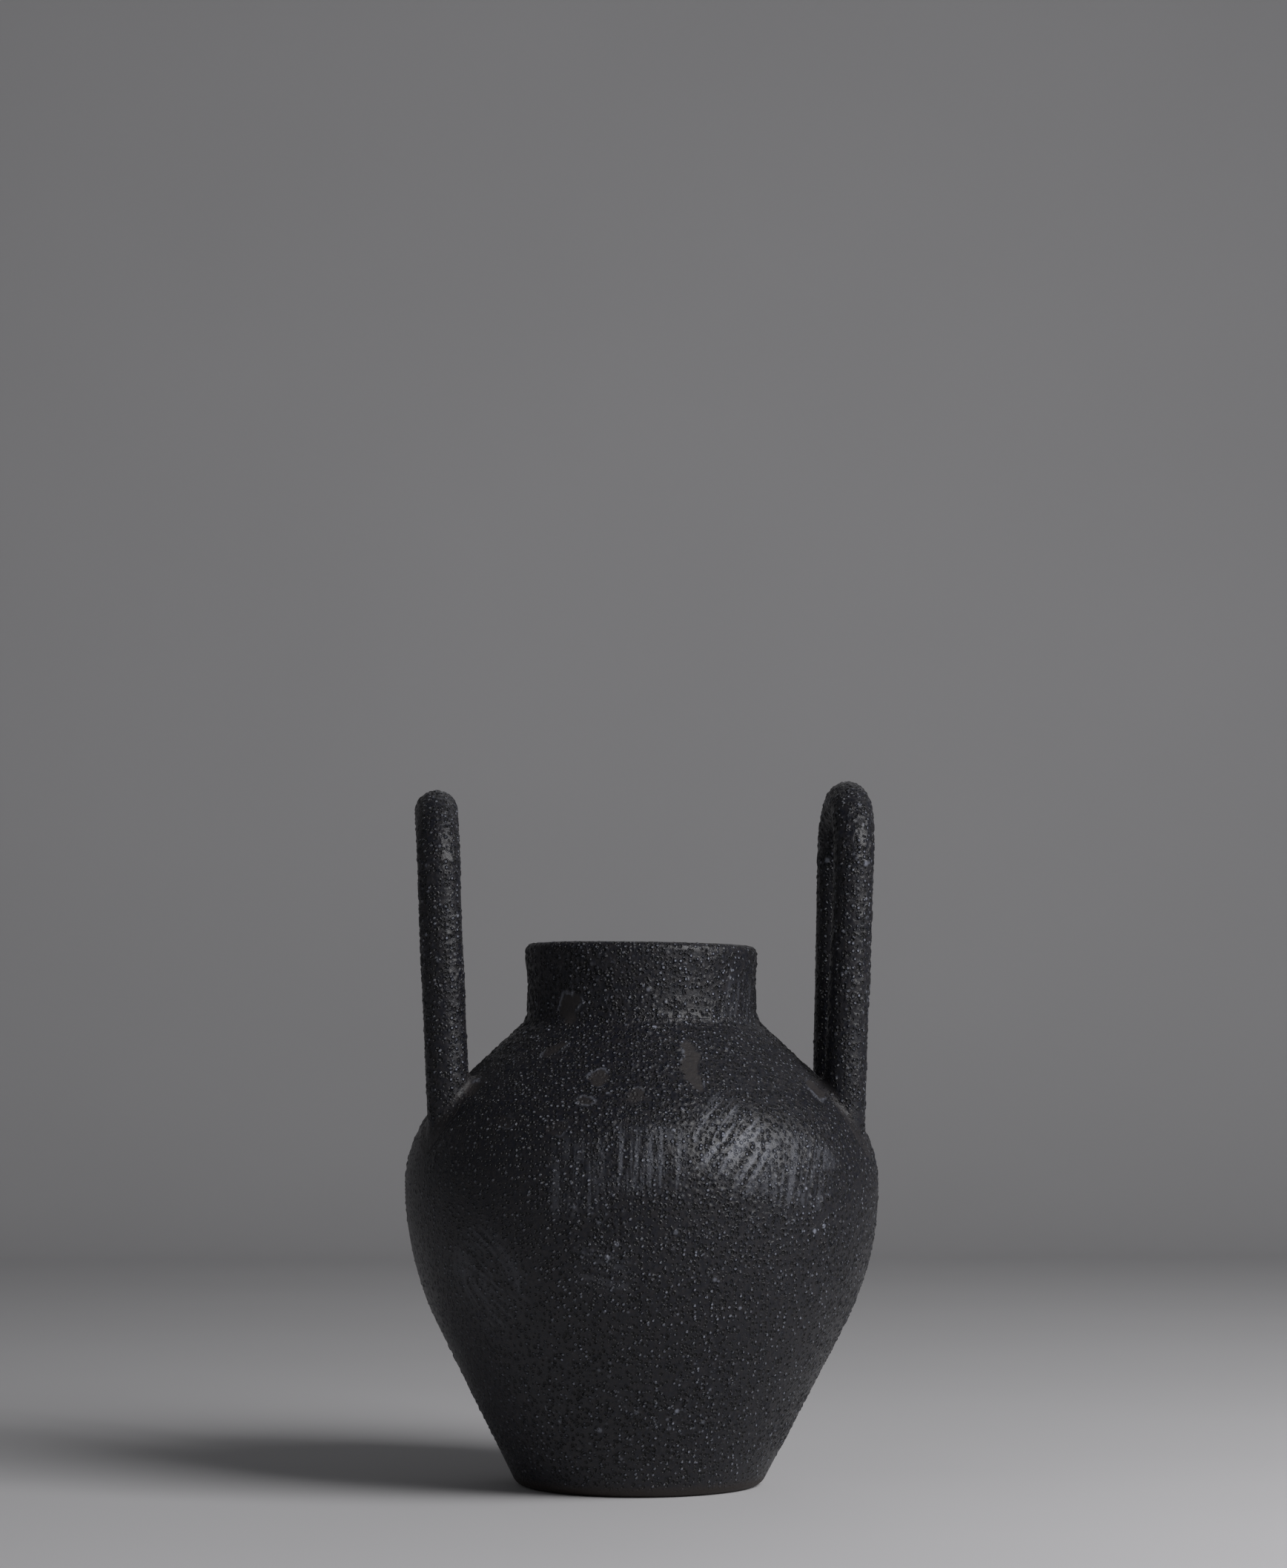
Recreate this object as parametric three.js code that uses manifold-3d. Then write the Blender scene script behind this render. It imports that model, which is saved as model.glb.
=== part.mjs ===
// Handled vase of coiled black stoneware, in millimetres, +Z up.
// The origin is the middle of the foot's underside. The two handles stand at -X (left) and +X (right).
// The pot is a slab, four lifts of coiled wall, a collar and a rim coil, stacked on level joints.
import * as THREE from 'three';
import { mergeVertices } from 'three/addons/utils/BufferGeometryUtils.js';
import Module from 'manifold-3d';

const wasm = await Module();
wasm.setup();

// Wall outline, seen from the side: two swells that part at the widest ring, each ending in a straight wall
const BELLY_RADIUS = 114.3; // widest ring
const BELLY_HEIGHT = 142.7; // height of the widest ring
const LOWER_CURVE_RADIUS = 146; // swell below the widest ring
const LOWER_LEAN = 27.3; // degrees from upright of the straight wall above the foot
const SHOULDER_CURVE_RADIUS = 58.7; // swell above the widest ring
const SHOULDER_LEAN = 47.5; // degrees from upright of the straight shoulder
const NECK_RADIUS = 55.8; // outside of the collar, which ends the shoulder
const WALL = 7; // thickness of the coiled wall and the collar

// Foot slab
const SLAB_THICKNESS = 8;
const FOOT_ROUND = 6.5; // rounded lower edge of the slab
const TOE_WIDTH = 7; // clay pressed into the inside corner at the slab

// Neck and mouth
const COLLAR_HEIGHT = 27.4;
const RIM_HEIGHT = 9;
const RIM_WIDTH = 9;
const RIM_OVERHANG = 0.7; // how far the rim coil stands out past the collar
const RIM_ROUND = 4; // rounding of its two top edges
const RIM_SEAT_ROUND = 1.2; // rounding of its two bottom edges

// Handles
const HANDLE_RADIUS = 10.4; // radius of the bent coil
const LEG_SPREAD = 33; // each leg's distance from the XZ plane
// rise: height above the mouth. inset: how far it stands in from the widest ring, level with the mouth.
// frontLean and rearLean: degrees by which each leg leans out as it goes up.
const LEFT_HANDLE = { side: -1, rise: 74.4, inset: 17.2, frontLean: 2.5, rearLean: 2.5 };
const RIGHT_HANDLE = { side: 1, rise: 79.8, inset: 16.3, frontLean: 2.5, rearLean: 1.2 };

// Luting coils in the corners between the legs and the shoulder
const ROOT_COIL_INNER = 6; // radius of the coil on the side that faces the neck
const ROOT_COIL_OUTER = 2.4; // radius on the side that faces away from the neck
const LUTING_GAP = 0.3; // clearance between a leg, its root coil and the shoulder

// Facets
const ROUND_STEPS = 64; // around the pot
const CURVE_STEPS = 8; // along each swell of the wall
const LEAST_STEP = 1; // closest that a point of a swell comes to a joint, in mm
const EDGE_STEPS = 4; // along a rounded edge
const COIL_HALF_SIDES = 8; // half the sides of the handle's section
const LEG_STEPS = 3;
const ARCH_STEPS = 18;
const ROOT_STEPS = 28; // around a leg
const ROOT_SIDES = 10; // around the luting coil

const { sin, cos, tan, atan2, sqrt, hypot, PI } = Math;
const { degToRad, radToDeg } = THREE.MathUtils;

// Each swell is an arc about a centre at the height of the widest ring
function swell(curveRadius, leanDegrees) {
  return { centre: BELLY_RADIUS - curveRadius, curveRadius, lean: degToRad(leanDegrees) };
}
const LOWER = swell(LOWER_CURVE_RADIUS, LOWER_LEAN);
const UPPER = swell(SHOULDER_CURVE_RADIUS, SHOULDER_LEAN);

// Distance above the widest ring where the shoulder, moved outwards by offset, has come in to a radius
function riseTo(targetRadius, offset) {
  const radius = UPPER.curveRadius + offset;
  const arcEnd = UPPER.centre + radius * cos(UPPER.lean);
  return radius * sin(UPPER.lean) + (arcEnd - targetRadius) / tan(UPPER.lean);
}

// Heights that follow from the sizes above
const LOWER_WALL_TOP = BELLY_HEIGHT - LOWER.curveRadius * sin(LOWER.lean); // end of the straight lower wall
const UPPER_WALL_TOP = BELLY_HEIGHT + UPPER.curveRadius * sin(UPPER.lean); // start of the straight shoulder
const SHOULDER_HEIGHT = BELLY_HEIGHT + riseTo(NECK_RADIUS, 0); // corner of the shoulder and the collar
const COLLAR_TOP = SHOULDER_HEIGHT + COLLAR_HEIGHT;
const MOUTH_HEIGHT = COLLAR_TOP + RIM_HEIGHT;

// Radius of the wall at a height, for the outside moved outwards by offset (negative for the inside)
function wallRadius(z, offset) {
  const arc = z < BELLY_HEIGHT ? LOWER : UPPER;
  const radius = arc.curveRadius + offset;
  const away = Math.abs(z - BELLY_HEIGHT);
  const arcEnd = radius * sin(arc.lean);
  if (away <= arcEnd) return arc.centre + sqrt(radius * radius - away * away);
  return arc.centre + radius * cos(arc.lean) - (away - arcEnd) * tan(arc.lean);
}

// Points [radius, height] along the wall, upwards from one height to another
function wallLine(offset, fromZ, toZ) {
  const heights = [];
  for (let i = 0; i <= CURVE_STEPS; i++) {
    const share = i / CURVE_STEPS;
    heights.push(BELLY_HEIGHT - (LOWER.curveRadius + offset) * sin(LOWER.lean * share));
    heights.push(BELLY_HEIGHT + (UPPER.curveRadius + offset) * sin(UPPER.lean * share));
  }
  const between = heights.filter((z) => z > fromZ + LEAST_STEP && z < toZ - LEAST_STEP);
  const sorted = [...new Set(between)].sort((a, b) => a - b);
  return [fromZ, ...sorted, toZ].map((z) => [wallRadius(z, offset), z]);
}

// Points of a rounded edge: an arc about [r, z], angles in degrees from straight out
function edge(r, z, radius, from, to) {
  return Array.from({ length: EDGE_STEPS + 1 }, (_, i) => {
    const angle = degToRad(from + ((to - from) * i) / EDGE_STEPS);
    return [r + radius * cos(angle), z + radius * sin(angle)];
  });
}

// A solid of revolution about Z from a section that goes up on the outside
function turned(section) {
  const points = section.map(([r, z]) => new THREE.Vector2(r, z));
  return new THREE.LatheGeometry(points, ROUND_STEPS).rotateX(PI / 2);
}

// A closed section repeats its first point
const ring = (section) => turned([...section, section[0]]);

function toSolid(geometry) {
  const bare = geometry.clone();
  bare.deleteAttribute('normal');
  bare.deleteAttribute('uv');
  const merged = mergeVertices(bare, 1e-4);
  return new wasm.Manifold(
    new wasm.Mesh({
      numProp: 3,
      vertProperties: new Float32Array(merged.attributes.position.array),
      triVerts: new Uint32Array(merged.index.array),
    }),
  );
}

function toGeometry(solid) {
  const mesh = solid.getMesh();
  const geometry = new THREE.BufferGeometry();
  geometry.setAttribute('position', new THREE.BufferAttribute(new Float32Array(mesh.vertProperties), 3));
  geometry.setIndex(new THREE.BufferAttribute(new Uint32Array(mesh.triVerts), 1));
  geometry.computeVertexNormals();
  return geometry;
}

// Slab: flat underside, rounded lower edge that runs tangent into the leaning wall
function footSlab() {
  const edgeCentre = wallRadius(FOOT_ROUND, 0) - FOOT_ROUND / cos(LOWER.lean);
  const round = edge(edgeCentre, FOOT_ROUND, FOOT_ROUND, -90, -radToDeg(LOWER.lean));
  const top = [[wallRadius(SLAB_THICKNESS, 0), SLAB_THICKNESS], [0, SLAB_THICKNESS]];
  return turned([[0, 0], ...round, ...top]);
}

// Lowest lift: stands on the slab, with clay pressed into the inside corner
function lowerWall() {
  const toeTop = SLAB_THICKNESS + TOE_WIDTH;
  const outside = wallLine(0, SLAB_THICKNESS, LOWER_WALL_TOP);
  const inside = wallLine(-WALL, toeTop, LOWER_WALL_TOP).reverse();
  const toe = [wallRadius(SLAB_THICKNESS, -WALL) - TOE_WIDTH / 2, SLAB_THICKNESS];
  return ring([...outside, ...inside, toe]);
}

// A lift of even thickness between two level joints
function wallLift(fromZ, toZ) {
  return ring([...wallLine(0, fromZ, toZ), ...wallLine(-WALL, fromZ, toZ).reverse()]);
}

// Highest lift: its inside ends in a short upright throat under the collar
function shoulder() {
  const throat = NECK_RADIUS - WALL;
  const throatZ = BELLY_HEIGHT + riseTo(throat, -WALL);
  const outside = wallLine(0, UPPER_WALL_TOP, SHOULDER_HEIGHT);
  const inside = wallLine(-WALL, UPPER_WALL_TOP, throatZ).reverse();
  return ring([...outside, [throat, SHOULDER_HEIGHT], ...inside]);
}

function neckCollar() {
  const inner = NECK_RADIUS - WALL;
  return ring([
    [NECK_RADIUS, SHOULDER_HEIGHT],
    [NECK_RADIUS, COLLAR_TOP],
    [inner, COLLAR_TOP],
    [inner, SHOULDER_HEIGHT],
  ]);
}

function rimCoil() {
  const outer = NECK_RADIUS + RIM_OVERHANG;
  const inner = outer - RIM_WIDTH;
  const seatZ = COLLAR_TOP + RIM_SEAT_ROUND;
  const topZ = MOUTH_HEIGHT - RIM_ROUND;
  return ring([
    ...edge(outer - RIM_SEAT_ROUND, seatZ, RIM_SEAT_ROUND, -90, 0),
    ...edge(outer - RIM_ROUND, topZ, RIM_ROUND, 0, 90),
    ...edge(inner + RIM_ROUND, topZ, RIM_ROUND, 90, 180),
    ...edge(inner + RIM_SEAT_ROUND, seatZ, RIM_SEAT_ROUND, 180, 270),
  ]);
}

// Distance of a handle's centre line from the YZ plane, at a height and a place between its two legs
function reach(handle, y, z) {
  const rearShare = (y + LEG_SPREAD) / (2 * LEG_SPREAD);
  const lean = handle.frontLean + (handle.rearLean - handle.frontLean) * rearShare;
  return BELLY_RADIUS - handle.inset + (z - MOUTH_HEIGHT) * tan(degToRad(lean));
}

// Centre line of a handle: up the front leg, over a half circle and down the rear leg
class HandleLine extends THREE.Curve {
  constructor(handle) {
    super();
    this.handle = handle;
    this.archZ = MOUTH_HEIGHT + handle.rise - HANDLE_RADIUS - LEG_SPREAD;
  }

  getPoint(t, target = new THREE.Vector3()) {
    const step = t * (2 * LEG_STEPS + ARCH_STEPS);
    const up = Math.min(step, 2 * LEG_STEPS + ARCH_STEPS - step) / LEG_STEPS;
    const angle = (PI * (step - LEG_STEPS)) / ARCH_STEPS;
    const onLeg = up < 1;
    const y = onLeg ? LEG_SPREAD * Math.sign(t - 0.5) : -LEG_SPREAD * cos(angle);
    const z = onLeg ? BELLY_HEIGHT + (this.archZ - BELLY_HEIGHT) * up : this.archZ + LEG_SPREAD * sin(angle);
    return target.set(this.handle.side * reach(this.handle, y, z), y, z);
  }

  // Steps go by the line's own parameter, so that the arch gets most of them
  getUtoTmapping(u) {
    return u;
  }
}

function handleTube(handle, radius) {
  const section = new THREE.Shape();
  section.absarc(0, 0, radius, 0, 2 * PI, false);
  return new THREE.ExtrudeGeometry(section, {
    steps: 2 * LEG_STEPS + ARCH_STEPS,
    curveSegments: COIL_HALF_SIDES,
    extrudePath: new HandleLine(handle),
    bevelEnabled: false,
  });
}

// The pot filled in, with its outside moved outwards, to cut what stands on the shoulder
function potSolid(offset) {
  return toSolid(turned([[0, 0], ...wallLine(offset, 0, SHOULDER_HEIGHT), [0, SHOULDER_HEIGHT]]));
}

const shoulderCutter = potSolid(LUTING_GAP);

const bentCoil = (handle) => toGeometry(toSolid(handleTube(handle, HANDLE_RADIUS)).subtract(shoulderCutter));

// Height where the line up a leg, at one place around it, leaves the shoulder
function shoulderHeightAt(handle, legY, outwards, sideways) {
  let low = BELLY_HEIGHT;
  let high = SHOULDER_HEIGHT;
  for (let i = 0; i < 40; i++) {
    const z = (low + high) / 2;
    const inside = hypot(reach(handle, legY, z) + outwards, legY + sideways) < wallRadius(z, 0);
    if (inside) low = z;
    else high = z;
  }
  return low;
}

// Luting coil: a ring round the leg that follows the corner with the shoulder, fatter towards the neck
function rootCoil(handle, end) {
  const torus = new THREE.TorusGeometry(HANDLE_RADIUS, 1, ROOT_SIDES, ROOT_STEPS);
  const place = torus.attributes.position;
  const legY = end * LEG_SPREAD;
  const inwards = atan2(-legY, -reach(handle, legY, SHOULDER_HEIGHT));
  for (let i = 0; i < place.count; i++) {
    const angle = atan2(place.getY(i), place.getX(i));
    const facing = (1 + cos(angle - inwards)) / 2;
    const thick = ROOT_COIL_OUTER + (ROOT_COIL_INNER - ROOT_COIL_OUTER) * facing;
    const corner = shoulderHeightAt(handle, legY, HANDLE_RADIUS * cos(angle), HANDLE_RADIUS * sin(angle));
    const away = HANDLE_RADIUS + thick * (hypot(place.getX(i), place.getY(i)) - HANDLE_RADIUS);
    const z = corner + thick * place.getZ(i);
    const x = reach(handle, legY, z) + away * cos(angle);
    place.setXYZ(i, handle.side * x, legY + away * sin(angle), z);
  }
  if (handle.side < 0) {
    // Mirroring turns the faces inside out, so each is read the other way round
    const index = torus.index.array;
    for (let i = 0; i < index.length; i += 3) [index[i], index[i + 1]] = [index[i + 1], index[i]];
  }
  const leg = toSolid(handleTube(handle, HANDLE_RADIUS + LUTING_GAP));
  return toGeometry(toSolid(torus).subtract(leg).subtract(shoulderCutter));
}

function clay(color, roughness) {
  return new THREE.MeshStandardMaterial({ color, roughness, metalness: 0 });
}
const BLACK_GLAZE = 0x2b2c30;
const BROWN_BLACK = 0x37322e;

function piece(name, geometry, color = BLACK_GLAZE, roughness = 0.75) {
  const mesh = new THREE.Mesh(geometry, clay(color, roughness));
  mesh.name = name;
  return mesh;
}

const vase = new THREE.Group();
vase.name = 'handled_vase';
vase.add(
  piece('foot_slab', footSlab(), BROWN_BLACK),
  piece('lower_wall', lowerWall()),
  piece('belly_wall', wallLift(LOWER_WALL_TOP, BELLY_HEIGHT)),
  piece('upper_wall', wallLift(BELLY_HEIGHT, UPPER_WALL_TOP)),
  piece('shoulder', shoulder()),
  piece('neck_collar', neckCollar()),
  piece('rim_coil', rimCoil()),
  piece('left_handle', bentCoil(LEFT_HANDLE)),
  piece('right_handle', bentCoil(RIGHT_HANDLE)),
  piece('left_front_root', rootCoil(LEFT_HANDLE, -1), BROWN_BLACK),
  piece('left_rear_root', rootCoil(LEFT_HANDLE, 1), BROWN_BLACK),
  piece('right_front_root', rootCoil(RIGHT_HANDLE, -1), BROWN_BLACK),
  piece('right_rear_root', rootCoil(RIGHT_HANDLE, 1), BROWN_BLACK),
);

export default vase;
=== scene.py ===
from math import atan2, cos, pi, radians, sin, sqrt, tan

import bpy
import numpy as np
from mathutils import Euler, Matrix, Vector


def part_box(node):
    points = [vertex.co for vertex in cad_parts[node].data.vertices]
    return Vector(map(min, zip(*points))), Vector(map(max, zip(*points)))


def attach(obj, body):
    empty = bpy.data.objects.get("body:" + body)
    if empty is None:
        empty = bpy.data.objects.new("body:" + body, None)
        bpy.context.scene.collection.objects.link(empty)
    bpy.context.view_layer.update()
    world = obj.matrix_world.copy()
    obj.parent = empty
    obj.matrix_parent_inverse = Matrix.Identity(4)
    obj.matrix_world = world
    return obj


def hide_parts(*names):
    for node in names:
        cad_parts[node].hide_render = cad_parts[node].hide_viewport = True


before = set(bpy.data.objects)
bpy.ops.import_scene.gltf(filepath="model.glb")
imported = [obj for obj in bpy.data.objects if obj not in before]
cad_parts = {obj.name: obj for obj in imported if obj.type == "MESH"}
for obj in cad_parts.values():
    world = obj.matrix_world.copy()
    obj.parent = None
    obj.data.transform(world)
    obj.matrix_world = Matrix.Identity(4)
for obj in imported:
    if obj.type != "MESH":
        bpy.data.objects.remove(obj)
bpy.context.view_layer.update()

bl_info = {
    "name": "Handled stoneware vase",
    "version": (1, 0, 0),
    "blender": (4, 5, 0),
    "location": "View3D > Sidebar > Vase",
    "description": "Coil-built black vase with two upright handles and a crater glaze",
    "category": "Object",
}

BODY = "root"

# Rings of the wall from the foot up, with the number of bands that each is made in
WALL_NODES = (("lower_wall", 2), ("belly_wall", 2), ("upper_wall", 2), ("shoulder", 2), ("neck_collar", 1))
# Handles: which side, and each leg's lean in degrees as it goes up, front and rear
HANDLES = {"left": (-1, 2.5, 2.5), "right": (1, 2.5, 1.2)}
# Half the distance between a handle's legs, and how far its coil at the mouth's height lies inside the
# widest ring
LEG_SPREAD = 0.033
HANDLE_INSET = {"left": 0.0172, "right": 0.0163}
# How far a leg's end goes under the shoulder, and how much the right legs are rubbed down
UNDER_SHOULDER = 0.003
LEG_THINNING = 0.0003
# Points round the foot's edge
FOOT_STEPS = 24
# Degrees between two faces from which their edge is left sharp
SHARP_ANGLE = 66

# Places on the pot are read off the photograph, in pixels of its whole frame
PHOTO_SIZE = (1736, 2115)
PHOTO_FOCAL = 4784

# Smooth blotches where the glaze flowed out: column, row, half width, half height, turn in degrees, strength
BLOTCHES = (
    (769, 1358, 19, 19, 0, 1.0),
    (749, 1414, 21, 11, -8, 0.9),
    (806, 1455, 16, 13, 35, 0.9),
    (790, 1485, 15, 9, 0, 0.8),
    (932, 1440, 13, 43, -4, 1.0),
    (858, 1479, 11, 13, 0, 0.7),
    (681, 1514, 17, 9, 20, 0.45),
    (754, 1522, 15, 9, 0, 0.45),
    (640, 1466, 13, 16, 15, 0.9),
    (1100, 1470, 12, 18, -15, 0.9),
)
# Brushed streaks, painted paler where the lamp's sheen falls on them: column, row, half width, half height,
# lean of the strokes in degrees, strength
SCRAPES_AND_SHEEN = (
    (875, 1562, 50, 46, 2, 0.75),
    (990, 1540, 66, 54, 34, 1.0),
    (1080, 1578, 56, 52, 8, 0.6),
    (780, 1588, 42, 56, 0, 0.4),
    (1000, 1350, 26, 40, 6, 0.35),
    (658, 1725, 60, 66, -48, 0.35),
    (815, 1712, 34, 40, -80, 0.3),
)
# Width and length of the strokes in a streak
BROAD_STROKE = (0.0011, 0.021)
FINE_STROKE = (0.00055, 0.012)
# How much a point's depth counts beside its height, as the wall under a mark leans back
DEPTH_SHARE = 0.75

# Lumps of the glaze: height, spacing and seed. Ragged edges of the blotches: share, spacing and seed
LUMPS = ((0.00016, 0.045, 7), (0.0001, 0.013, 8))
RAGGED = ((0.42, 0.0055, 41), (0.16, 0.0015, 42))
# Bubbles: spacing, smallest radius and largest radius
LARGE_BUBBLES = (0.0052, 0.0009, 0.0021)
SMALL_BUBBLES = (0.0025, 0.0008, 0.0014)
# The most that bubbles stand out, how deep a blotch sinks and how high its edge stands
BUBBLE_CAP = 0.00046
BLOTCH_SINK = 0.00012
BLOTCH_RISE = 0.00024

# How the pot strays from true: its foot and its mouth stand to the left, and the mouth falls to the right
FOOT_SHIFT = 0.0014
MOUTH_SHIFT = 0.0003
MOUTH_FALL = 0.014
# The mouth begins between these heights, within this radius
MOUTH_START = (0.236, 0.256)
MOUTH_REACH = 0.07

# Lamps: name, which power it takes, place and width
LAMPS = (
    ("key_lamp", "key_power", (1.35, -1.05, 1.35), 1.15),
    ("fill_lamp", "fill_power", (-1.6, -1.2, 0.9), 1.2),
    ("back_lamp", "fill_power", (0.4, 1.2, 1.3), 1.0),
)
LAMP_AIM = (0, 0, 0.16)
SKY_TINT = (0.95, 0.97, 1, 1)
SENSOR_HEIGHT = 36


def linear(red, green, blue):
    """A colour of 0 to 255 as the linear values that a shader takes."""
    steps = np.array((red, green, blue)) / 255
    bright = ((steps + 0.055) / 1.055) ** 2.4
    return tuple(float(v) for v in np.where(steps <= 0.04045, steps / 12.92, bright))


def length(name, default, description):
    return bpy.props.FloatProperty(
        name=name,
        default=default,
        description=description,
        min=0,
        precision=5,
        unit="LENGTH",
        subtype="DISTANCE",
    )


def colour(name, default, description):
    return bpy.props.FloatVectorProperty(
        name=name, default=linear(*default), description=description, size=3, min=0, max=1, subtype="COLOR"
    )


def number(name, default, description):
    return bpy.props.FloatProperty(name=name, default=default, description=description, min=0)


class PotSizes(bpy.types.PropertyGroup):
    """Sizes of the fired surface, whose mean lies just inside the faces of the solids."""

    belly_radius: length("Widest ring", 0.1138, "Mean radius of the widest ring")
    belly_height: length("Height of widest ring", 0.1427, "Height of the widest ring above the floor")
    lower_curve: length("Lower swell", 0.1454, "Radius of the swell below the widest ring")
    upper_curve: length("Upper swell", 0.05825, "Radius of the swell above the widest ring")
    lower_lean: number("Foot wall lean", 27.25, "Degrees from upright of the wall above the foot")
    shoulder_lean: number("Shoulder lean", 47.5, "Degrees from upright of the shoulder")
    neck_radius: length("Neck", 0.0553, "Mean outside radius of the collar")
    neck_waist: length("Neck waist", 0.0004, "How far the collar draws in halfway up")
    neck_fillet: length("Neck corner", 0.011, "Rounding of the corner between shoulder and neck")
    foot_round: length("Foot rounding", 0.0065, "Rounding of the foot's edge")
    wall: length("Wall", 0.007, "Thickness of the wall")
    lip_width: length("Lip width", 0.009, "Width of the rim coil")
    lip_radius: length("Lip", 0.0560, "Mean outside radius of the lip")
    left_coil: length("Left coil", 0.01007, "Mean radius of the left handle's coil")
    right_coil: length("Right coil", 0.0098, "Mean radius of the right handle's coil")
    root_inner: length("Root inside", 0.008, "Width of the pressed root on the side of the neck")
    root_outer: length("Root outside", 0.0035, "Width of the pressed root on the outer side")
    grid: length("Grid", 0.00062, "Spacing of the surface points")


class GlazeLook(bpy.types.PropertyGroup):
    """Colours of the glaze and sizes of its craters."""

    matrix: colour("Glaze", (18, 20, 29), "Satin black between the craters")
    # Pit colour: the crater's inside, darkened as painted shade in the hollow
    shaded_pit: colour("Pit", (7, 7, 9), "Inside of a crater")
    # Bubble colour: partly the pale dry tops of the bubbles, partly painted glints where the lamp would
    # catch them
    bubble: colour("Bubble", (142, 146, 159), "Dry top of a raised bubble")
    smooth: colour("Blotch", (46, 42, 42), "Smooth matt blotches")
    # Streak colour: the brushed streaks' own paler grey, also painted sheen where the lamp's highlight falls
    streak_and_sheen: colour("Streak", (124, 127, 137), "Brushed streaks")
    foot: colour("Foot edge", (46, 38, 33), "Browner edge of the foot")
    underside: colour("Underside", (46, 38, 32), "Unglazed clay under the foot")
    pitch: length("Crater pitch", 0.0022, "Distance between neighbouring craters")
    relief: length("Relief", 0.0011, "Depth of the finest craters")


class StudioLook(bpy.types.PropertyGroup):
    """Lamps, floor and camera."""

    floor: colour("Floor", (196, 195, 197), "Pale floor and backdrop")
    key_power: number("Key lamp", 42, "Watts of the large lamp at the upper right")
    fill_power: number("Fill lamp", 1.0, "Watts of the lamp at the left")
    sky: number("Sky", 0.07, "Strength of the even light from all round")
    distance: length("Camera distance", 1.722, "Distance of the camera from the pot's axis")
    height: length("Camera height", 0.203, "Height of the camera above the floor")
    azimuth: number("Camera azimuth", 3.46, "Degrees that the camera stands to the left")
    yaw_trim: number("Camera trim", 0.027, "Degrees that the camera turns right of the pot's axis")
    pitch_up: number("Camera pitch", 4.43, "Degrees that the camera looks up")


def hashed(x, y, z, seed):
    """A repeatable number from 0 to 1 for each whole-number place: its three parts are mixed by multiplying
    and folding the bits."""
    mask = 0xFFFFFFFF
    mixed = (x * 73856093 ^ y * 19349663 ^ z * 83492791 ^ seed * 26544357) & mask
    mixed = ((mixed >> 15) ^ mixed) * 2246822519 & mask
    mixed = ((mixed >> 13) ^ mixed) * 668265263 & mask
    return ((mixed >> 16) ^ mixed) / mask


def soft_noise(points, seed):
    """Value noise from -1 to 1: random numbers at whole-number places, blended with a smooth cubic."""
    base = np.floor(points).astype(np.int64)
    share = points - base
    share = share * share * (3 - 2 * share)
    total = 0
    for corner in np.ndindex(2, 2, 2):
        weight = np.prod(np.where(np.array(corner) == 1, share, 1 - share), axis=-1)
        total = total + weight * hashed(*(base[..., i] + corner[i] for i in range(3)), seed)
    return total * 2 - 1


def bubbles(points, pitch, smallest, largest, density, seed):
    """Domes round one random centre in each cube of a lattice. A dome's height is half its radius times
    (1 - q^2), with q the distance over the radius, and every third has a sunk middle. Returns the height
    and how far up a dome each point is."""
    scaled = points / pitch
    base = np.floor(scaled).astype(np.int64)
    height = np.zeros(points.shape[:-1])
    crest = np.zeros(points.shape[:-1])
    for offset in np.ndindex(3, 3, 3):
        cell = [base[..., i] + offset[i] - 1 for i in range(3)]
        away = sum((cell[i] + hashed(*cell, seed + i) - scaled[..., i]) ** 2 for i in range(3))
        chance = hashed(*cell, seed + 3)
        radius = (smallest + (largest - smallest) * chance**2) * np.maximum(density, 1e-3)
        share = np.sqrt(away) * pitch / radius
        dome = np.clip(1 - share * share, 0, None)
        crater = np.where((chance * 37) % 1 < 0.33, np.clip(1 - 3 * share * share, 0, None), 0)
        height = np.maximum(height, 0.5 * radius * (dome - 0.9 * crater))
        crest = np.maximum(crest, dome * (1 - crater) * ((chance * 91) % 1))
    return height, crest


def ramp(value, low, high):
    """0 below low, 1 above high, and a smooth cubic between them."""
    share = np.clip((value - low) / (high - low), 0, 1)
    return share * share * (3 - 2 * share)


def arc(middle, radius, turn):
    """Points at some angles round a middle."""
    return np.stack((middle[0] + radius * np.cos(turn), middle[1] + radius * np.sin(turn)), -1)


def outline(sizes):
    """The pot's outside as (radius, height) points from the floor to the top of the collar: the foot's
    rounding, a straight wall, the lower swell, the upper swell, a straight shoulder, a hollow corner and
    a neck that is slightly waisted and opens a little at its top."""
    low, high = radians(sizes.lower_lean), radians(sizes.shoulder_lean)
    widest = Vector((sizes.belly_radius, sizes.belly_height))
    low_middle = (widest.x - sizes.lower_curve, widest.y)
    high_middle = (widest.x - sizes.upper_curve, widest.y)
    lower = arc(low_middle, sizes.lower_curve, -np.linspace(low, 0, 160)[:-1])
    upper = arc(high_middle, sizes.upper_curve, np.linspace(0, high, 120))
    toe = lower[0, 0] - tan(low) * lower[0, 1]
    foot = sizes.foot_round
    contact = toe - foot * tan((pi / 2 - low) / 2)
    edge = arc((contact, foot), foot, np.linspace(-pi / 2, -low, FOOT_STEPS))
    root = upper[-1, 1] + (upper[-1, 0] - sizes.neck_radius) / tan(high)
    fillet = sizes.neck_fillet
    middle = (sizes.neck_radius + fillet, root + fillet * tan(high / 2))
    corner = arc(middle, fillet, np.linspace(pi + high, pi, 24))
    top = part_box("neck_collar")[1][2]
    rise = np.linspace(middle[1], top, 40)[1:]
    share = (rise - middle[1]) / (top - middle[1])
    flare = 0.0006
    across = sizes.neck_radius - sizes.neck_waist * np.sin(pi * share) + flare * share**4
    return np.concatenate((edge, lower, upper, corner, np.stack((across, rise), -1)))


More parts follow.
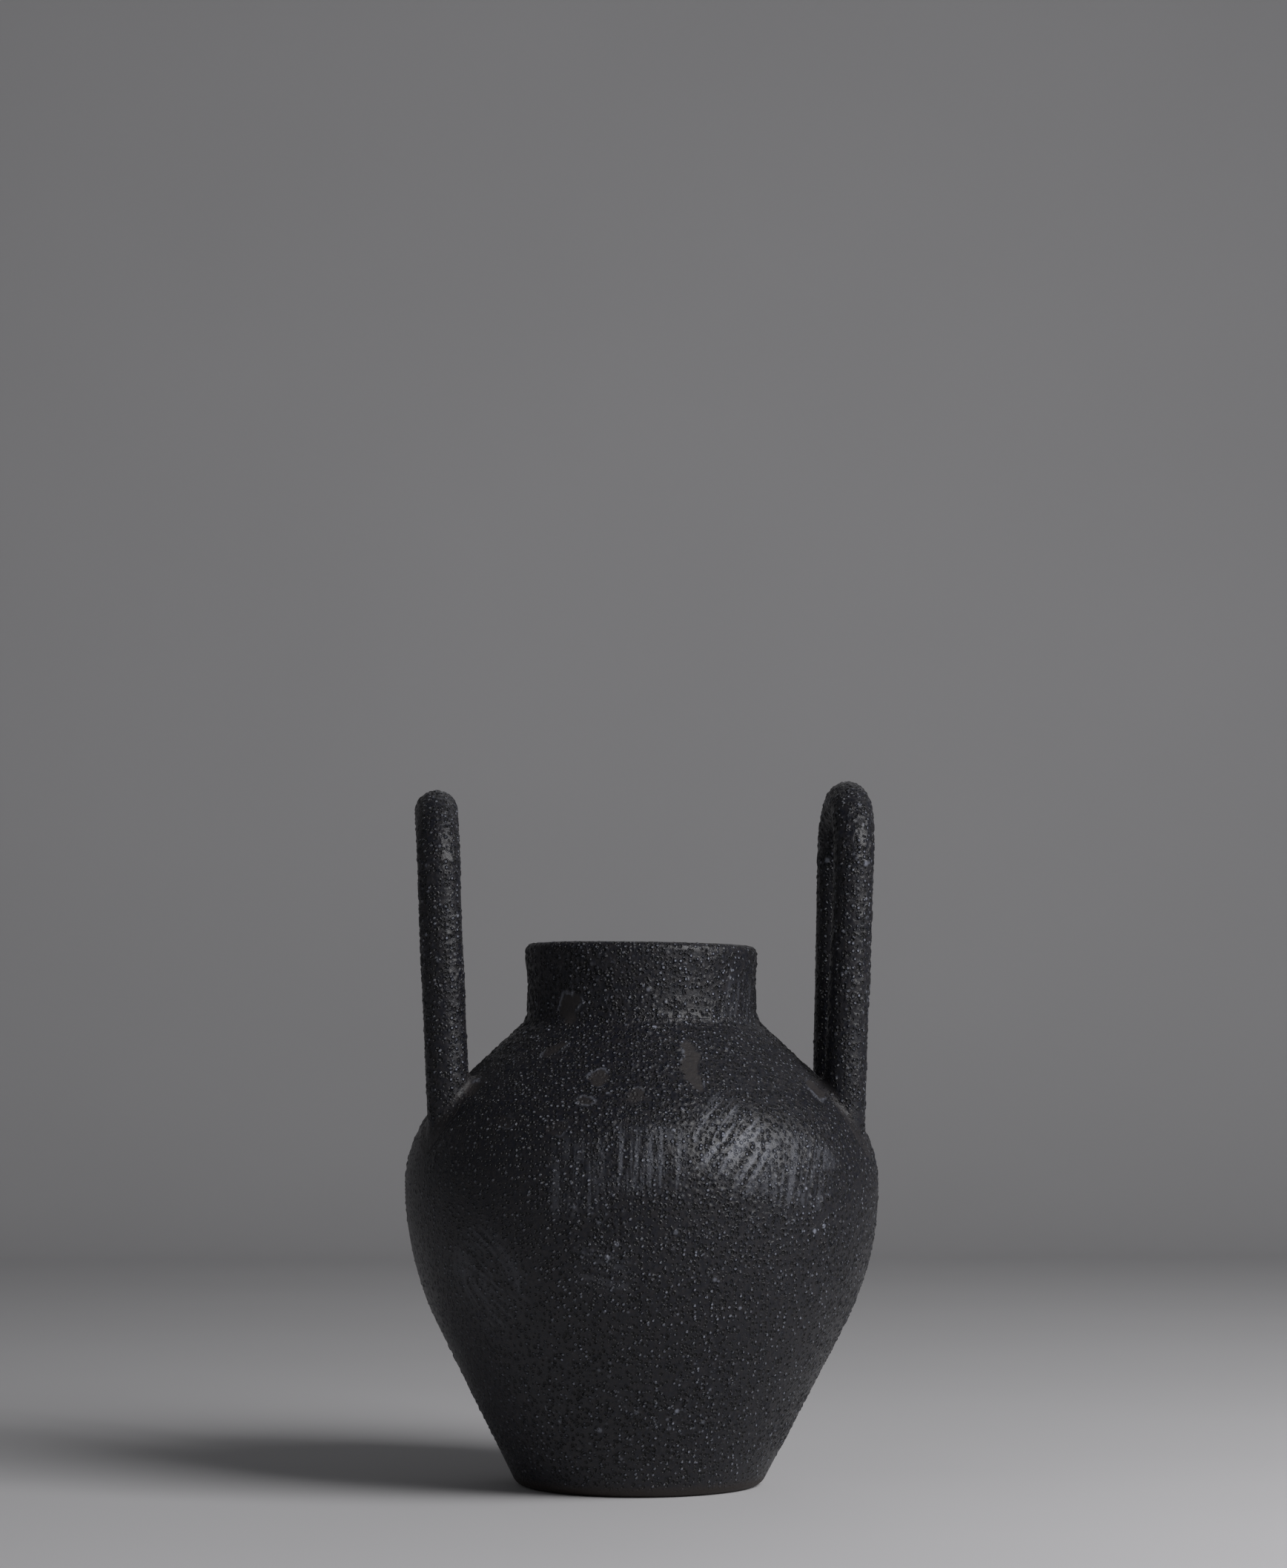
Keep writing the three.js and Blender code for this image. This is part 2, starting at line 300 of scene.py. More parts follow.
def distances(line):
    """How far along a line each of its points is."""
    return np.concatenate(((0,), np.cumsum(np.linalg.norm(np.diff(line, axis=0), axis=1))))


def points_at(line, places):
    """The points of a line at some distances along it."""
    along = distances(line)
    return np.stack([np.interp(places, along, line[:, i]) for i in range(2)], -1)


def resample(line, spacing, start, end):
    """Points at even steps along a line, between two heights."""
    along = distances(line)
    first = np.interp(start, line[:, 1], along)
    last = np.interp(end, line[:, 1], along)
    steps = max(2, round(float(last - first) / spacing) + 1)
    return points_at(line, np.linspace(first, last, steps))


def side_normals(line):
    """Each point's outward direction, square to the line."""
    run = np.gradient(line, axis=0)
    run /= np.linalg.norm(run, axis=1, keepdims=True)
    return np.stack((run[:, 1], -run[:, 0]), -1)


def camera_place(look):
    """Where the camera stands and how it is turned."""
    turn = radians(look.azimuth)
    place = Vector((-look.distance * sin(turn), -look.distance * cos(turn), look.height))
    return place, Euler((radians(90 + look.pitch_up), 0, radians(-look.azimuth - look.yaw_trim)))


def place_in_photo(column, row, line, look):
    """Where the camera's ray through a pixel first meets the turned outline."""
    start, turn = camera_place(look)
    across = (column - PHOTO_SIZE[0] / 2) / PHOTO_FOCAL
    down = (row - PHOTO_SIZE[1] / 2) / PHOTO_FOCAL
    ray = turn.to_matrix() @ Vector((across, -down, -1))
    reach = np.linspace(look.distance * 0.9, look.distance, 3000)[:, None]
    points = np.array(start) + reach * np.array(ray)
    inside = np.hypot(points[:, 0], points[:, 1]) < np.interp(points[:, 2], line[:, 1], line[:, 0])
    return points[np.argmax(inside)] if inside.any() else points[-1]


def marked(points, mark, line, look):
    """Each point's place across and along a mark, counted in half widths and half heights, and in metres."""
    column, row, half_width, half_height, turn = mark[:5]
    centre = place_in_photo(column, row, line, look)
    scale = look.distance / PHOTO_FOCAL
    spin = radians(turn)
    away = points - centre
    rightwards = np.array((cos(radians(look.azimuth)), sin(radians(-look.azimuth)), 0))
    across = away @ rightwards
    slope = np.hypot(away[..., 1] * DEPTH_SHARE, away[..., 2]) * np.sign(away[..., 2])
    side = across * cos(spin) - slope * sin(spin)
    up = across * sin(spin) + slope * cos(spin)
    return side / (half_width * scale), up / (half_height * scale), side, up


class Surface:
    """The fired surface: one relief and one set of masks, worked out from where a point lies."""

    def __init__(self, scene):
        self.sizes = scene.pot_sizes
        self.look = scene.studio_look
        self.line = outline(self.sizes)

    def blotches(self, points):
        """How far inside a blotch each point is, and how far on a broken raised edge of one. The edge is
        raised in the relief and also given a painted highlight in the glaze.
        """
        inside = np.zeros(points.shape[:-1])
        edge = np.zeros(points.shape[:-1])
        ragged = sum(amount * soft_noise(points / spacing, seed) for amount, spacing, seed in RAGGED)
        front = points[..., 1] < 0.05
        broken = ramp(soft_noise(points / 0.006, 43), 0.0, 0.35)
        for mark in BLOTCHES:
            side, up, _, _ = marked(points, mark, self.line, self.look)
            share = np.sqrt(side * side + up * up) + ragged
            inside = np.maximum(inside, mark[5] * front * (1 - ramp(share, 0.7, 1.15)))
            # Painted highlight: the broken rim of each blotch, later painted lighter as where the lamp
            # catches it
            lit = np.exp(-(((share - 1) / 0.11) ** 2)) * broken
            edge = np.maximum(edge, mark[5] * front * lit)
        return inside, edge

    def scrapes_and_sheen(self, points):
        """How strongly each point is brushed, in broad strokes with fine ones over them. The streaks lie
        where the lamp's sheen falls, and the pale colour they are given in the glaze is partly painted
        sheen.
        """
        total = np.zeros(points.shape[:-1])
        front = points[..., 1] < 0
        for index, mark in enumerate(SCRAPES_AND_SHEEN):
            side, up, across, along = marked(points, mark, self.line, self.look)
            fade = (1 - ramp(np.abs(side), 0.6, 1.1)) * (1 - ramp(np.abs(up), 0.6, 1.1)) * front
            broad = np.stack((across / BROAD_STROKE[0], along / BROAD_STROKE[1], np.zeros_like(across)), -1)
            fine = np.stack((across / FINE_STROKE[0], along / FINE_STROKE[1], np.ones_like(across)), -1)
            lines = ramp(soft_noise(broad, 51 + index), -0.1, 0.7)
            lines = lines + 0.6 * ramp(soft_noise(fine, 71 + index), 0.1, 0.7)
            total = np.maximum(total, mark[5] * fade * np.clip(lines, 0, 1))
        return total

    def relief(self, points, amount):
        """How far the glaze stands out at each point, and the masks for its colours. Lumps of two sizes,
        large and small bubbles, and sunk blotches with raised edges are added up. The bubbles are lower in
        blotches and streaks, on the calm lower left of the front and near the floor."""
        inside, edge = self.blotches(points)
        scrape = self.scrapes_and_sheen(points)
        region = soft_noise(points / 0.028, 5)
        height = points[..., 2]
        coarse = 0.92 + 0.14 * ramp(height, 0.2, 0.24)
        low = ramp(height, 0.004, 0.022)
        calm = ramp(-points[..., 0], 0.02, 0.09) * (1 - ramp(height, 0.15, 0.19)) * (points[..., 1] < 0)
        quiet = (1 - 0.9 * inside) * (1 - 0.5 * scrape) * (1 - 0.45 * calm) * low * amount
        density = np.clip(coarse * (0.95 + 0.4 * region), 0.35, 1.25) * quiet
        large, large_crest = bubbles(points, *LARGE_BUBBLES, density, 11)
        small, small_crest = bubbles(points, *SMALL_BUBBLES, density, 23)
        lumps = sum(tall * soft_noise(points / spacing, seed) for tall, spacing, seed in LUMPS)
        raised = np.minimum(0.85 * large + small, BUBBLE_CAP)
        stand = lumps + raised - BLOTCH_SINK * inside + BLOTCH_RISE * edge
        outer = np.hypot(points[..., 0], points[..., 1]) > 0.05
        masks = {
            # Bubble crests, where the glaze is painted pale: partly the tops' own colour, partly painted
            # glints
            "bubble": np.maximum(large_crest, 0.8 * small_crest) * (1 - inside),
            "blotch": inside,
            "blotch_edge": edge,
            "scrape": scrape,
            "calm": calm,
            "foot_band": (1 - ramp(height, 0.002, 0.007)) * outer,
        }
        return stand * amount, masks

    def by_hand(self, points):
        """The pot isn't true: its foot stands a little to the left and its mouth falls to the right."""
        lean = np.clip(1 - points[..., 2] / self.sizes.belly_height, 0, 1) ** 2
        radius = np.hypot(points[..., 0], points[..., 1])
        mouth = ramp(points[..., 2], *MOUTH_START) * (radius < MOUTH_REACH)
        moved = points.copy()
        moved[..., 0] -= FOOT_SHIFT * lean + MOUTH_SHIFT * mouth
        moved[..., 2] -= MOUTH_FALL * points[..., 0] * mouth
        return moved

    def wall_height(self, radius):
        """Height of the shoulder's outside at a radius."""
        high = self.line[self.line[:, 1] >= self.sizes.belly_height]
        return np.interp(radius, high[::-1, 0], high[::-1, 1])


def add_piece(name, points, masks, capped, material, node):
    """A closed mesh on a grid of rows and columns. The columns meet round the piece. The rows meet too, or
    each end is closed by a fan. The faces are turned outwards by the sign of the enclosed volume."""
    rows, columns = points.shape[:2]
    places = points.reshape(-1, 3)
    row, column = np.meshgrid(np.arange(rows - 1 if capped else rows), np.arange(columns), indexing="ij")
    nextrow, nextcolumn = (row + 1) % rows, (column + 1) % columns
    corners = ((row, column), (row, nextcolumn), (nextrow, nextcolumn), (nextrow, column))
    quads = np.stack([r * columns + c for r, c in corners], -1).reshape(-1, 4)
    strips = max(1, round(sqrt(ring_share(points))))
    per_strip = -(-columns // strips)
    shelf = column // per_strip

    def flat(across, up):
        """Where a grid corner lies in the unwrapped square, in strips stacked up."""
        u = 0.01 + 0.98 * (across - shelf * per_strip) / per_strip
        v = (shelf + 0.01 + 0.98 * (up + 1) / (rows + 2)) / strips
        return np.stack((u, v), -1)

    unwrapped = [flat(column, row), flat(column + 1, row), flat(column + 1, row + 1), flat(column, row + 1)]
    uv = np.stack(unwrapped, -2).reshape(-1, 4, 2)
    faces = [quads]
    maps = [uv]
    if capped:
        places = np.concatenate((places, points[0].mean(0)[None], points[-1].mean(0)[None]))
        around = np.arange(columns)
        after = (around + 1) % columns
        shelf = around // per_strip
        near = np.stack((after, around, np.full(columns, rows * columns)), -1)
        last = (rows - 1) * columns
        far = np.stack((last + around, last + after, np.full(columns, rows * columns + 1)), -1)
        faces += [near, far]
        maps += [
            np.stack((flat(around + 1, 0), flat(around, 0), flat(around + 0.5, -1)), -2),
            np.stack((flat(around, rows - 1), flat(around + 1, rows - 1), flat(around + 0.5, rows)), -2),
        ]
    a, b, c, d = (places[quads[:, i]] for i in range(4))
    middle = places.mean(0)
    volume = np.einsum("ij,ij->", a - middle, np.cross(b - middle, c - middle))
    volume += np.einsum("ij,ij->", a - middle, np.cross(c - middle, d - middle))
    if volume < 0:
        faces = [part[:, ::-1] for part in faces]
        maps = [part[:, ::-1] for part in maps]
    mesh = bpy.data.meshes.new(name)
    sides = np.concatenate([np.full(len(part), part.shape[1]) for part in faces])
    loops = np.concatenate([part.ravel() for part in faces])
    mesh.vertices.add(len(places))
    mesh.vertices.foreach_set("co", places.astype(np.float32).ravel())
    mesh.loops.add(len(loops))
    mesh.loops.foreach_set("vertex_index", loops.astype(np.int32))
    mesh.polygons.add(len(sides))
    mesh.polygons.foreach_set("loop_start", np.concatenate(((0,), np.cumsum(sides)[:-1])).astype(np.int32))
    mesh.polygons.foreach_set("use_smooth", np.ones(len(sides), bool))
    layer = mesh.uv_layers.new(name="OFBake")
    spots = np.concatenate([part.reshape(-1, 2) for part in maps])
    layer.uv.foreach_set("vector", spots.astype(np.float32).ravel())
    for mask, values in masks.items():
        full = np.zeros(len(places), np.float32)
        full[: rows * columns] = values.ravel()
        mesh.attributes.new(mask, "FLOAT", "POINT").data.foreach_set("value", full)
    mesh.update(calc_edges=True)
    mesh.set_sharp_from_angle(angle=radians(SHARP_ANGLE))
    if mesh.validate():
        raise RuntimeError(f"{name} has a bad face")
    piece = bpy.data.objects.new(name, mesh)
    bpy.context.scene.collection.objects.link(piece)
    mesh.materials.append(material)
    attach(piece, BODY)
    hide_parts(node)
    return piece


def ring_share(points):
    """How many times longer the piece is round its columns than along its rows."""
    round_length = np.linalg.norm(np.diff(points[points.shape[0] // 2], axis=0), axis=-1).sum()
    row_length = np.linalg.norm(np.diff(points[:, 0], axis=0), axis=-1).sum()
    return max(1.0, round_length / row_length)


def turned(surface, name, loop, normals, amounts, capped, material, node):
    """A profile carried round the axis: x = r cos, y = r sin, each point then moved out by its relief."""
    count = round(2 * pi * surface.sizes.belly_radius / surface.sizes.grid)
    angle = np.arange(count) * 2 * pi / count

    def carried(line):
        radius, height = line[:, :1], line[:, 1:]
        return np.stack((radius * np.cos(angle), radius * np.sin(angle), height + 0 * angle), -1)

    points = carried(loop)
    stand, masks = surface.relief(points, amounts[:, None] + 0 * angle)
    points = surface.by_hand(points + carried(normals) * stand[..., None])
    points[..., 2] = np.maximum(points[..., 2], 0)
    return add_piece(name, points, masks, capped, material, node)


class Wire:
    """A shader value. Sums, differences, products and quotients with it add Math nodes."""

    def __init__(self, shader, socket):
        self.shader = shader
        self.socket = socket

    def maths(self, operation, first, second):
        return self.shader.node("ShaderNodeMath", {"operation": operation}, {0: first, 1: second})

    def __add__(self, other):
        return self.maths("ADD", self, other)

    def __sub__(self, other):
        return self.maths("SUBTRACT", self, other)

    def __rsub__(self, other):
        return self.maths("SUBTRACT", other, self)

    def __mul__(self, other):
        return self.maths("MULTIPLY", self, other)

    def __truediv__(self, other):
        return self.maths("DIVIDE", self, other)

    def fade(self, low, high):
        """0 at low and 1 at high, with a smooth step between them."""
        settings = {"interpolation_type": "SMOOTHSTEP"}
        return self.shader.node("ShaderNodeMapRange", settings, {0: self, 1: low, 2: high})


class Shader:
    """A material's node tree."""

    def __init__(self, name):
        self.material = bpy.data.materials.new(name)
        self.material.use_nodes = True
        self.tree = self.material.node_tree
        self.principled = self.tree.nodes["Principled BSDF"]
        self.place = self.node("ShaderNodeTexCoord", output="Object")

    def node(self, kind, settings=None, values=None, output=0):
        made = self.tree.nodes.new(kind)
        for key, value in (settings or {}).items():
            setattr(made, key, value)
        for key, value in (values or {}).items():
            self.feed(made.inputs[key], value)
        return Wire(self, made.outputs[output])

    def feed(self, socket, value):
        if isinstance(value, Wire):
            self.tree.links.new(value.socket, socket)
        else:
            socket.default_value = value

    def surface(self, **values):
        for key, value in values.items():
            self.feed(self.principled.inputs[key.replace("_", " ")], value)

    def attribute(self, name):
        return self.node("ShaderNodeAttribute", {"attribute_name": name}, output="Fac")

    def noise(self, scale, detail=2.0):
        values = {"Vector": self.place, "Scale": scale, "Detail": detail}
        return self.node("ShaderNodeTexNoise", values=values)

    def cells(self, scale):
        """Distance to the nearest crater's centre in cells, and a random number of that crater."""
        values = {"Vector": self.place, "Scale": scale, "Randomness": 0.8}
        near = self.node("ShaderNodeTexVoronoi", values=values, output="Distance")
        tint = Wire(self, near.socket.node.outputs["Color"])
        return near, self.node("ShaderNodeSeparateColor", values={0: tint})

    def blend(self, share, first, second):
        """A mix of two colours. The node's inputs 6 and 7 and its output 2 are the colour ones."""
        values = {0: share, 6: first, 7: second}
        return self.node("ShaderNodeMix", {"data_type": "RGBA"}, values, output=2)

    def bump(self, height, strength, distance):
        values = {"Strength": strength, "Distance": distance, "Height": height}
        return self.node("ShaderNodeBump", values=values, output="Normal")


def rgba(values):
    return (*values, 1.0)


def crater_glaze(look):
    """Satin black glaze full of craters: pits in cells darkened with painted shade, raised bubbles with pale
    tops that are partly their own dry colour and partly painted glints, fine grain, smooth brown-grey
    blotches whose broken raised edges carry a painted highlight, brushed streaks painted paler where the
    lamp's sheen falls, and a browner edge at the foot."""
    name = "crater_glaze_pot"
    existing = bpy.data.materials.get(name)
    if existing:
        return existing
    shader = Shader(name)
    bubble = shader.attribute("bubble")
    blotch = shader.attribute("blotch")
    edge = shader.attribute("blotch_edge")
    scrape = shader.attribute("scrape")
    foot = shader.attribute("foot_band")
    near, chance = shader.cells(1 / look.pitch)
    region = shader.noise(32).fade(0.36, 0.62)
    calm = shader.attribute("calm")
    open_glaze = (1 - blotch * 0.95) * (1 - scrape * 0.55) * (1 - foot) * (1 - calm * 0.55)
    pit_size = chance * 0.16 + 0.24
    shaded_pit = (near / pit_size).fade(1.25, 0.65) * chance.fade(0.02, 0.22) * open_glaze
    rim = (near / pit_size).fade(1.9, 1.25) * (1 - shaded_pit) * chance.fade(0.5, 0.8) * open_glaze
    speck_near, speck_chance = shader.cells(0.82 / look.pitch)
    speck = speck_near.fade(0.42, 0.12) * speck_chance.fade(0.2, 0.75) * open_glaze
    hollow = speck_near.fade(0.12, 0.05) * speck_chance.fade(0.84, 0.9)
    grain = shader.noise(2600, 3.0)
    mottle = shader.noise(420, 4.0)
    tone = shader.blend(mottle.fade(0.3, 0.72) * 0.5, rgba(look.matrix), rgba(look.smooth))
    # Painted shade: the inside of each pit is darkened towards the pit colour
    tone = shader.blend(shaded_pit * 0.85, tone, rgba(look.shaded_pit))
    # Painted glints: the pale tops of the bubbles and specks stand partly for the glaze's own paler tops and
    # partly for the lamp's glints on them
    top = speck_near.fade(0.33, 0.16) * speck * (1 - hollow)
    pale = bubble.fade(0.3, 0.85) * (region * 0.5 + 0.3) * (1 - calm * 0.6) + top * (region * 0.4 + 0.45)
    tone = shader.blend(pale, tone, rgba(look.bubble))
    tone = shader.blend(blotch * (mottle.fade(0.2, 0.7) * 0.35 + 0.6), tone, rgba(look.smooth))
    # Partly painted sheen: the brushed streaks, which lie where the lamp's highlight falls, are mixed
    # towards the pale streak colour
    tone = shader.blend(scrape * (grain.fade(0.3, 0.7) * 0.5 + 0.2), tone, rgba(look.streak_and_sheen))
    # Painted highlight: the blotches' raised edges are lightened towards the bubble colour
    tone = shader.blend(edge * 0.35, tone, rgba(look.bubble))
    tone = shader.blend(foot * 0.8, tone, rgba(look.foot))
    rough = mottle * 0.16 + 0.3 + shaded_pit * 0.3 + blotch * 0.2 + foot * 0.25
    tall = rim * 0.25 + speck * (1 - hollow * 1.4) * 1.2 - shaded_pit + grain * 0.12 + mottle * 0.2
    bump = shader.bump(tall, 1.0, look.relief)
    shader.surface(Base_Color=tone, Roughness=rough, Normal=bump, Specular_IOR_Level=0.4)
    return shader.material


def bare_clay(look):
    """Unglazed brown-black clay: sandy grain, darker mottling and fine scratches from being wiped."""
    shader = Shader("bare_clay")
    grain = shader.noise(1800, 5.0)
    mottle = shader.noise(90, 4.0)
    tone = shader.blend(mottle.fade(0.3, 0.7) * 0.6 + grain * 0.2, rgba(look.underside), rgba(look.matrix))
    bump = shader.bump(grain, 0.6, 0.0002)
    shader.surface(Base_Color=tone, Roughness=mottle * 0.2 + 0.68, Normal=bump)
    return shader.material


class VASE_OT_stage(bpy.types.Operator):
    """Adds the pale floor with its curved backdrop, the lamps, the even light and the camera."""

    bl_idname = "vase.stage"
    bl_label = "Stage"

    def execute(self, context):
        look = context.scene.studio_look
        self.backdrop(look)
        for name, power, place, size in LAMPS:
            self.lamp(name, getattr(look, power), place, size)
        self.sky(context.scene, look)
        camera = bpy.data.objects.new("camera", bpy.data.cameras.new("camera"))
        camera.data.sensor_fit = "VERTICAL"
        camera.data.sensor_height = SENSOR_HEIGHT
        camera.data.lens = PHOTO_FOCAL / PHOTO_SIZE[1] * SENSOR_HEIGHT
        camera.location, camera.rotation_euler = camera_place(look)
        context.scene.collection.objects.link(camera)
        context.scene.camera = camera
        context.scene.view_settings.view_transform = "Standard"
        return {"FINISHED"}

    def backdrop(self, look):
        """A strip that lies flat, bends up over a quarter circle and stands as a wall, carried sideways."""
        bend, start, front, top, half_width = 0.7, 1.9, -3.2, 3.2, 3.6
        turn = np.linspace(0, pi / 2, 24)
        along = np.concatenate(((front,), start + bend * np.sin(turn), (start + bend,)))
        up = np.concatenate(((0,), bend - bend * np.cos(turn), (top,)))
        across = np.linspace(-half_width, half_width, 2)
        rows, columns = len(along), len(across)
        points = np.stack((np.tile(across, rows), np.repeat(along, columns), np.repeat(up, columns)), -1)
        first = np.arange(rows - 1) * columns
        faces = np.stack((first, first + 1, first + columns + 1, first + columns), -1)
        mesh = bpy.data.meshes.new("floor")
        mesh.from_pydata(points.tolist(), [], faces.tolist())
        mesh.shade_smooth()
        shader = Shader("floor_paint")
        soft = shader.noise(3, 2.0)
        paler = tuple(min(1.0, v * 1.06) for v in look.floor)
        shader.surface(Base_Color=shader.blend(soft, rgba(look.floor), rgba(paler)), Roughness=0.9)
        mesh.materials.append(shader.material)
        floor = bpy.data.objects.new("floor", mesh)
        bpy.context.scene.collection.objects.link(floor)

    def lamp(self, name, power, place, size):
        lamp = bpy.data.lights.new(name, "AREA")
        lamp.energy = power
        lamp.size = size
        thing = bpy.data.objects.new(name, lamp)
        thing.location = place
        aim = Vector(LAMP_AIM) - Vector(place)
        thing.rotation_euler = aim.to_track_quat("-Z", "Y").to_euler()
        bpy.context.scene.collection.objects.link(thing)

    def sky(self, scene, look):
        world = bpy.data.worlds.new("sky")
        world.use_nodes = True
        light = world.node_tree.nodes["Background"]
        light.inputs["Strength"].default_value = look.sky
        light.inputs["Color"].default_value = SKY_TINT
        scene.world = world


class VASE_OT_foot(bpy.types.Operator):
    """Adds the slab that the pot stands on."""

    bl_idname = "vase.foot"
    bl_label = "Foot slab"

    def execute(self, context):
        surface = Surface(context.scene)
        sizes = surface.sizes
        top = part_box("foot_slab")[1][2]
        edge = resample(surface.line, sizes.grid, 0, top)
        # Rings of the flat faces, the radius of their smallest and how far the top stays inside the edge
        rings, smallest, inset = 20, 0.002, 0.004
        under = np.stack((np.linspace(smallest, edge[0, 0], rings)[:-1], np.zeros(rings - 1)), -1)
        over = np.stack((np.linspace(edge[-1, 0] - inset, smallest, rings), np.full(rings, top)), -1)
        loop = np.concatenate((under, edge, over))
        down = np.tile((0, -1), (rings - 1, 1))
        normals = np.concatenate((down, side_normals(edge), np.tile((0, 1), (rings, 1))))
        rising = np.linspace(0, 1, len(edge)) ** 0.5
        amounts = np.concatenate((np.zeros(rings - 1), rising, np.zeros(rings)))
        glaze = crater_glaze(context.scene.glaze_look)
        name = "foot_slab_skin"
        slab = turned(surface, name, loop, normals, amounts, True, glaze, "foot_slab")
        slab.data.materials.append(bare_clay(context.scene.glaze_look))
        self.bare_below(slab.data.polygons)
        return {"FINISHED"}

    def bare_below(self, faces):
        """Gives the second material to the faces that lie on the floor."""
        touching = 0.0002
        centres = np.empty(len(faces) * 3, np.float32)
        faces.foreach_get("center", centres)
        below = centres.reshape(-1, 3)[:, 2] < touching
        faces.foreach_set("material_index", below.astype(np.int32))


class VASE_OT_walls(bpy.types.Operator):
    """Adds the four lifts of coiled wall and the collar, as rings that share their edges."""

    bl_idname = "vase.walls"
    bl_label = "Wall and neck"

    def execute(self, context):
        surface = Surface(context.scene)
        sizes = surface.sizes
        outside = surface.line
        outward = side_normals(outside)
        inside = outside - outward * sizes.wall
        inside = inside[(inside[:, 1] > 0) & (np.arange(len(inside)) > FOOT_STEPS)]
        inside[:, 1] = np.maximum.accumulate(inside[:, 1])
        # The inside has wider steps and weaker relief
        inner_spacing, inner_relief = sizes.grid * 6, 0.3
        glaze = crater_glaze(context.scene.glaze_look)
        for node, bands in WALL_NODES:
            low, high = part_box(node)[0][2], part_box(node)[1][2]
            cuts = np.linspace(low, high, bands + 1)
            for band in range(bands):
                outer = resample(outside, sizes.grid, cuts[band], cuts[band + 1])
                inner = resample(inside, inner_spacing, cuts[band], cuts[band + 1])[::-1]
                loop = np.concatenate((outer, inner))
                facing = [np.interp(outer[:, 1], outside[:, 1], outward[:, i]) for i in range(2)]
                normals = np.concatenate((np.stack(facing, -1), np.tile((-1, 0), (len(inner), 1))))
                amounts = np.concatenate((np.ones(len(outer)), np.full(len(inner), inner_relief)))
                name = f"{node}_{'ab'[band]}"
                turned(surface, name, loop, normals, amounts, False, glaze, node)
        return {"FINISHED"}


class VASE_OT_rim(bpy.types.Operator):
    """Adds the coil that finishes the mouth."""

    bl_idname = "vase.rim"
    bl_label = "Rim coil"

    def execute(self, context):
        surface = Surface(context.scene)
        sizes = surface.sizes
        # The lip stays this far under the box's top, rounds over this height, and is squarer than a circle
        room, rounding, power = 0.0005, 0.0045, 0.8
        low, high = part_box("rim_coil")[0][2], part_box("rim_coil")[1][2] - room
        half = sizes.lip_width / 2
        middle = sizes.lip_radius - half
        turn = np.linspace(0, pi, 60)
        across = middle + half * np.sign(np.cos(turn)) * np.abs(np.cos(turn)) ** power
        crown = np.stack((across, high - rounding + rounding * np.sin(turn) ** power), -1)
        start = ((surface.line[-1, 0], low),)
        end = ((middle - half + 0.001, low),)
        line = np.concatenate((start, crown, end))
        whole = distances(line)[-1]
        loop = points_at(line, np.linspace(0, whole, round(whole / sizes.grid)))
        normals = side_normals(loop)
        normals[0] = (1, 0)
        amounts = 1 - 0.35 * ramp(loop[:, 1], low + 0.004, high)
        glaze = crater_glaze(context.scene.glaze_look)
        turned(surface, "rim_coil_skin", loop, normals, amounts, False, glaze, "rim_coil")
        return {"FINISHED"}


class Handle:
    """A handle's measures, and where its coil runs."""

    def __init__(self, surface, name):
        self.surface = surface
        self.name = name
        self.side, self.front_lean, self.rear_lean = HANDLES[name]
        sizes = surface.sizes
        self.coil = sizes.left_coil if name == "left" else sizes.right_coil
        self.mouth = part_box("rim_coil")[1][2]
        self.reach_at_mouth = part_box("belly_wall")[1][0] - HANDLE_INSET[name]
        low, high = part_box(f"{name}_handle")
        cad_coil = (high[1] - low[1]) / 2 - LEG_SPREAD
        self.arch = high[2] - cad_coil - LEG_SPREAD

    def reach(self, y, z):
        """How far from the axis the coil's line is, across the pot, at a depth and a height."""
        share = (y + LEG_SPREAD) / (2 * LEG_SPREAD)
        lean = np.radians(self.front_lean + (self.rear_lean - self.front_lean) * share)
        return self.reach_at_mouth + (z - self.mouth) * np.tan(lean)

    def leg_foot(self, y, out, along):
        """Height at which a line up the leg leaves the shoulder, found by steps from a first guess."""
        first_guess = 0.19
        z = np.full(np.shape(out), first_guess)
        for _ in range(30):
            radius = np.hypot(self.reach(y, z) + out, y + along)
            z = 0.5 * z + 0.5 * self.surface.wall_height(radius)
        return z


